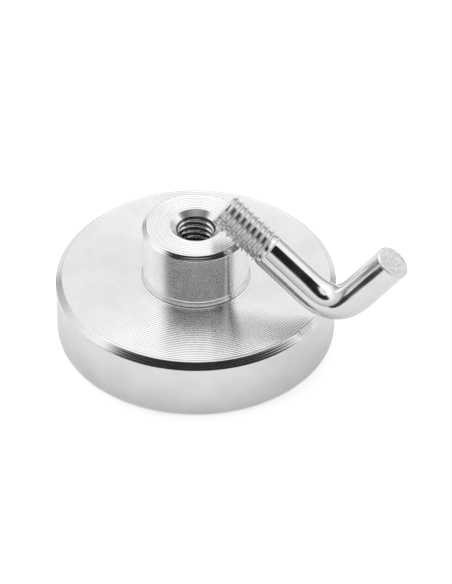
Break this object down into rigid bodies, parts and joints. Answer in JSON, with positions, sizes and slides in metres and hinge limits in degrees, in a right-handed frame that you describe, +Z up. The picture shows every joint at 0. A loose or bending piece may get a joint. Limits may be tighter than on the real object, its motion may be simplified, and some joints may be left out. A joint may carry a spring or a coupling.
{
  "type": "magnet fishing magnet",
  "caption": "Flat round pot magnet in turned steel with a threaded bush on top and a right-angle screw-in hook that leans on the bush.",
  "frame": {"origin": "centre of the working face, the flat lower face of the magnet disc, on the pot's axis", "axes": "+Z up along the pot's axis, from the working face to the bush; +X to the right of the side the hook's long leg comes towards, -Y towards a viewer who sees the hook on the right"},
  "size_m": [0.0731, 0.06, 0.0371],
  "materials": {
    "turned_steel": "turned, nickel plated, fine ring marks",
    "bright_nickel": "bright nickel plate",
    "magnet_nickel": "satin nickel plate",
    "potting_resin": "cast resin, matt",
    "bond_adhesive": "cured adhesive"
  },
  "bodies": {
    "magnet": {"pot_shell": "turned_steel", "threaded_bush": "turned_steel", "magnet_disc": "magnet_nickel", "bond_film": "bond_adhesive", "potting_ring": "potting_resin"},
    "hook": {"hook": "bright_nickel"}
  },
  "joints": [
    {"name": "hook_stand_up", "type": "hinge", "parent": "magnet", "child": "hook", "pos_m": [0.00419, -0.00208, 0.03029], "axis": [-0.5452, -0.8369, -0.0478], "range_deg": [0, 124.45]}
  ]
}
